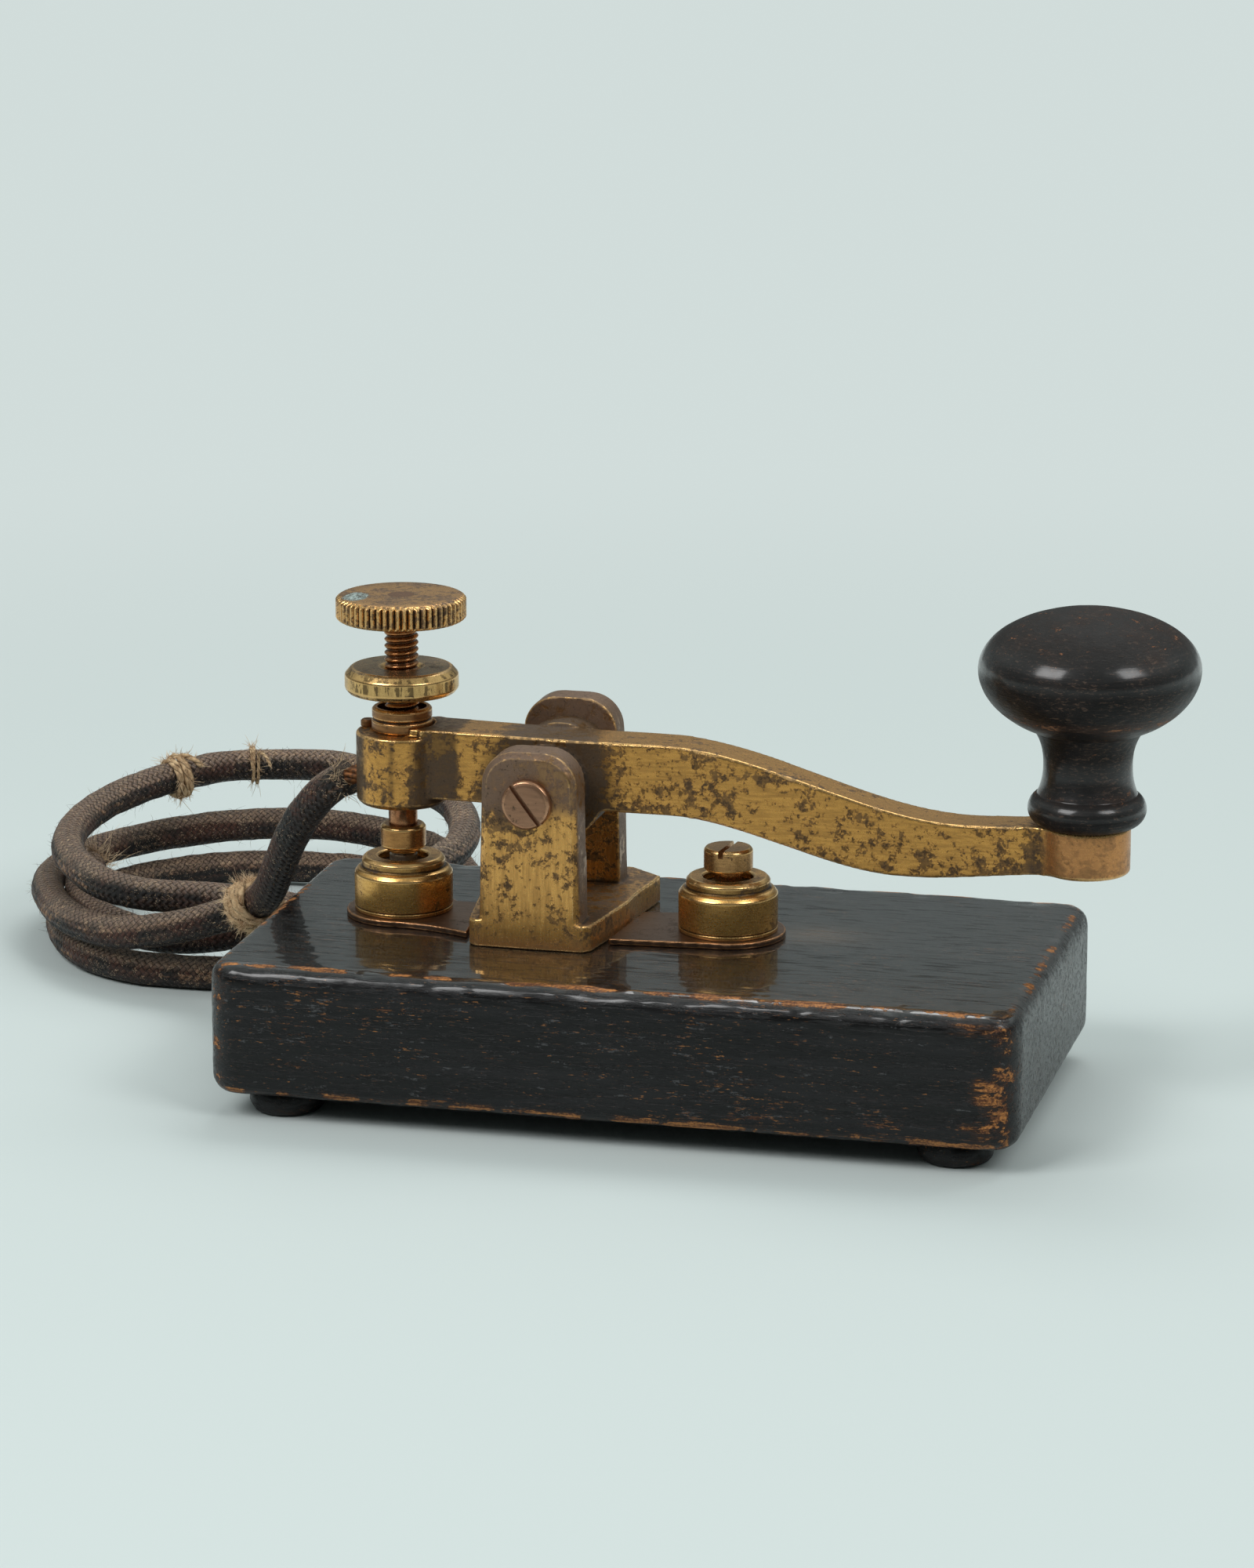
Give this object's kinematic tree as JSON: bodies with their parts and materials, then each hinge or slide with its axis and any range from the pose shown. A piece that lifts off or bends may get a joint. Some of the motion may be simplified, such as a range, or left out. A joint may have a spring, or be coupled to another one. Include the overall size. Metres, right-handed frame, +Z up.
{
  "type": "telegraph key",
  "caption": "Straight telegraph key: a sprung brass lever with a turned knob on a wooden base, with an adjusting screw, contacts and a coiled cord.",
  "frame": {"origin": "under the middle of the key without its cord, on the plane that the feet stand on", "axes": "+X along the base towards the knob, +Y to the rear, +Z up"},
  "size_m": [0.2521, 0.1703, 0.0945],
  "materials": {
    "ebonised_wood": "worn black polish",
    "black_wood": "worn black lacquer",
    "aged_brass": "tarnished and rubbed",
    "dark_brass": "dark tarnish",
    "copper_brass": "reddish tarnish",
    "contact_silver": "dull",
    "steel": "dull",
    "bare_conductor": "stripped and frayed",
    "braided_cloth": "worn braid",
    "tan_string": "frayed string"
  },
  "bodies": {
    "root": {"base": "ebonised_wood", "feet": "ebonised_wood", "foot_screws": "steel", "pivot_frame": "aged_brass", "frame_screws": "steel", "pivot_bolt": "copper_brass", "return_spring": "steel", "rear_strip": "dark_brass", "rear_anvil": "aged_brass", "rear_contact": "contact_silver", "front_strip": "dark_brass", "front_anvil": "aged_brass", "anvil_nuts": "aged_brass", "anvil_washers": "aged_brass", "cord_lead": "braided_cloth", "cord_coil": "braided_cloth", "cord_tie": "tan_string"},
    "lever": {"lever": "aged_brass", "knob": "black_wood", "knob_screw": "steel", "boss_collar": "dark_brass", "lead_clamp_screw": "dark_brass", "lead_core": "bare_conductor"},
    "contact_tip": {"contact_tip": "dark_brass"},
    "adjuster": {"adjusting_spindle": "dark_brass", "thumb_head": "copper_brass"},
    "lock_disc": {"lock_disc": "aged_brass"},
    "front_contact": {"front_contact_screw": "copper_brass"}
  },
  "joints": [
    {"name": "lever_pivot", "type": "hinge", "parent": "root", "child": "lever", "pos_m": [-0.0324, 0.0015, 0.0572], "axis": [0, 1, 0], "range_deg": [0, 5.7], "stiffness_Nm_per_rad": 0.4, "springref_deg": -20.05, "deforming": ["return_spring", "cord_lead"]},
    {"name": "tip_travel", "type": "slide", "parent": "lever", "child": "contact_tip", "axis": [0, 0, 1], "range_m": [0, 0.0035]},
    {"name": "adjuster_turn", "type": "hinge", "parent": "contact_tip", "child": "adjuster", "pos_m": [-0.0616, 0.0015, 0.09], "axis": [0, 0, 1], "range_deg": [0, 990]},
    {"name": "lock_disc_travel", "type": "slide", "parent": "adjuster", "child": "lock_disc", "axis": [0, 0, 1], "range_m": [-0.0024, 0.0085]},
    {"name": "front_contact_travel", "type": "slide", "parent": "root", "child": "front_contact", "axis": [0, 0, 1], "range_m": [-0.0009, 0]}
  ],
  "couplings": [
    {"joint": "tip_travel", "follows": "adjuster_turn", "m_per_rad": 0.00020213}
  ]
}
